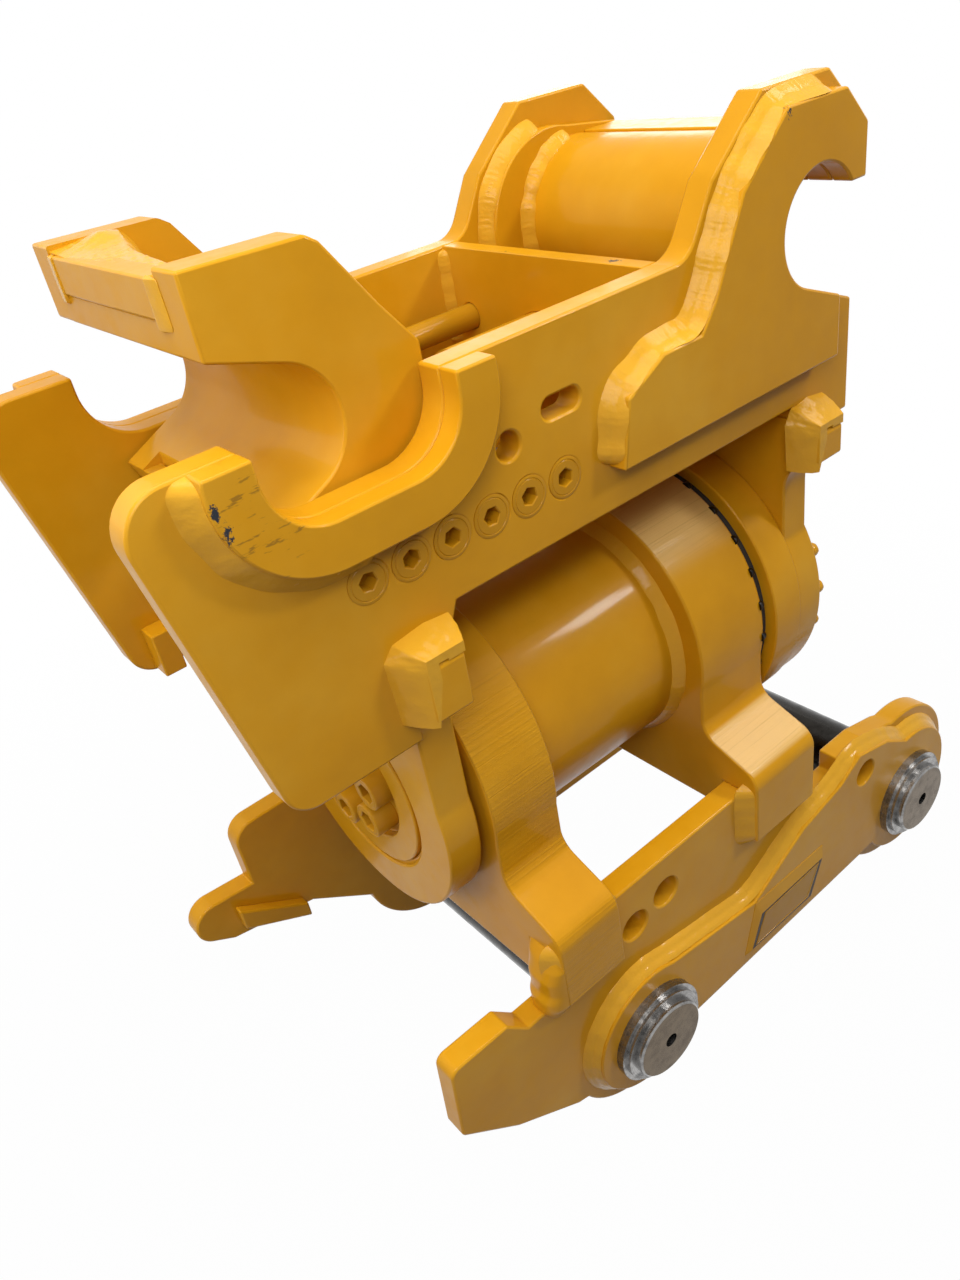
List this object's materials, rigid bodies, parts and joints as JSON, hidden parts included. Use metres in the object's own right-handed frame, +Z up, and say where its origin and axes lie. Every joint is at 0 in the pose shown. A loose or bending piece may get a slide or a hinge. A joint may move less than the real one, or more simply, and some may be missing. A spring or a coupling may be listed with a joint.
{
  "type": "tilting quick coupler",
  "caption": "Excavator quick coupler with a rotary tilt actuator between a pin-on bracket and a hook frame, a fixed hook and a sliding lock hook.",
  "frame": {"origin": "on the axis of the front machine pin, midway between the cheeks", "axes": "+X along the tilt axis towards the fixed hook, +Y across the stick along the machine pins, +Z up from the bracket towards the hooks"},
  "size_m": [0.8965, 0.4874, 0.94],
  "materials": {
    "amber_paint": "glossy amber machine paint over welded plate",
    "pin_steel": "ground and phosphated pin steel",
    "ring_steel": "turned bare steel",
    "ground_steel": "ground and chromed",
    "screw_steel": "plain steel",
    "seal_rubber": "matt black",
    "bearing_bronze": "machined bronze"
  },
  "bodies": {
    "bracket": {"near_cheek": "amber_paint", "far_cheek": "amber_paint", "near_boss_plate": "amber_paint", "far_boss_plate": "amber_paint", "name_pad": "amber_paint", "left_foot": "amber_paint", "right_foot": "amber_paint", "actuator_tube": "amber_paint", "left_bearing": "bearing_bronze", "right_bearing": "bearing_bronze", "left_seal": "seal_rubber", "right_seal": "seal_rubber", "front_pin_bushes": "ring_steel", "rear_pin_bushes": "ring_steel", "front_pin_rings": "ring_steel", "rear_pin_rings": "ring_steel", "front_pin_collars": "ring_steel", "rear_pin_collars": "ring_steel", "stop_bar": "amber_paint"},
    "tilt_frame": {"near_side_plate": "amber_paint", "far_side_plate": "amber_paint", "near_saddle_doubler": "amber_paint", "far_saddle_doubler": "amber_paint", "near_hook_doubler": "amber_paint", "far_hook_doubler": "amber_paint", "near_mouth_doubler": "amber_paint", "far_mouth_doubler": "amber_paint", "mouth_liner": "amber_paint", "mouth_guide_plate": "amber_paint", "cross_plate": "amber_paint", "floor_plate": "amber_paint", "left_ear": "amber_paint", "right_ear": "amber_paint", "near_guide_rail": "screw_steel", "far_guide_rail": "screw_steel", "near_rail_screws": "screw_steel", "far_rail_screws": "screw_steel", "cylinder_barrel": "amber_paint", "end_cap": "amber_paint", "cap_screws": "amber_paint", "hub_flange": "amber_paint", "actuator_shaft": "ground_steel", "ear_bolts": "amber_paint", "stop_lug": "amber_paint"},
    "lock_hook": {"near_lock_plate": "amber_paint", "far_lock_plate": "amber_paint", "throat_plate": "amber_paint", "hook_nose_plate": "amber_paint", "hook_lip_plate": "amber_paint", "slide_shoe": "amber_paint", "guide_rods": "ground_steel", "cylinder_rod": "ground_steel", "clevis_pin": "screw_steel"},
    "piston": {"actuator_piston": "ground_steel"},
    "front_pin": {"front_pin": "pin_steel"},
    "rear_pin": {"rear_pin": "pin_steel"}
  },
  "joints": [
    {"name": "tilt", "type": "hinge", "parent": "bracket", "child": "tilt_frame", "pos_m": [0, 0, 0.335], "axis": [1, 0, 0], "range_deg": [-65, 65]},
    {"name": "lock_slide", "type": "slide", "parent": "tilt_frame", "child": "lock_hook", "axis": [1, 0, 0], "range_m": [0, 0.1]},
    {"name": "piston_slide", "type": "slide", "parent": "bracket", "child": "piston", "axis": [1, 0, 0], "range_m": [-0.045, 0.045]},
    {"name": "front_pin_slide", "type": "slide", "parent": "bracket", "child": "front_pin", "axis": [0, 1, 0], "range_m": [0, 0.48]},
    {"name": "rear_pin_slide", "type": "slide", "parent": "bracket", "child": "rear_pin", "axis": [0, 1, 0], "range_m": [0, 0.48]}
  ],
  "couplings": [
    {"joint": "piston_slide", "follows": "tilt", "m_per_rad": 0.0396}
  ]
}
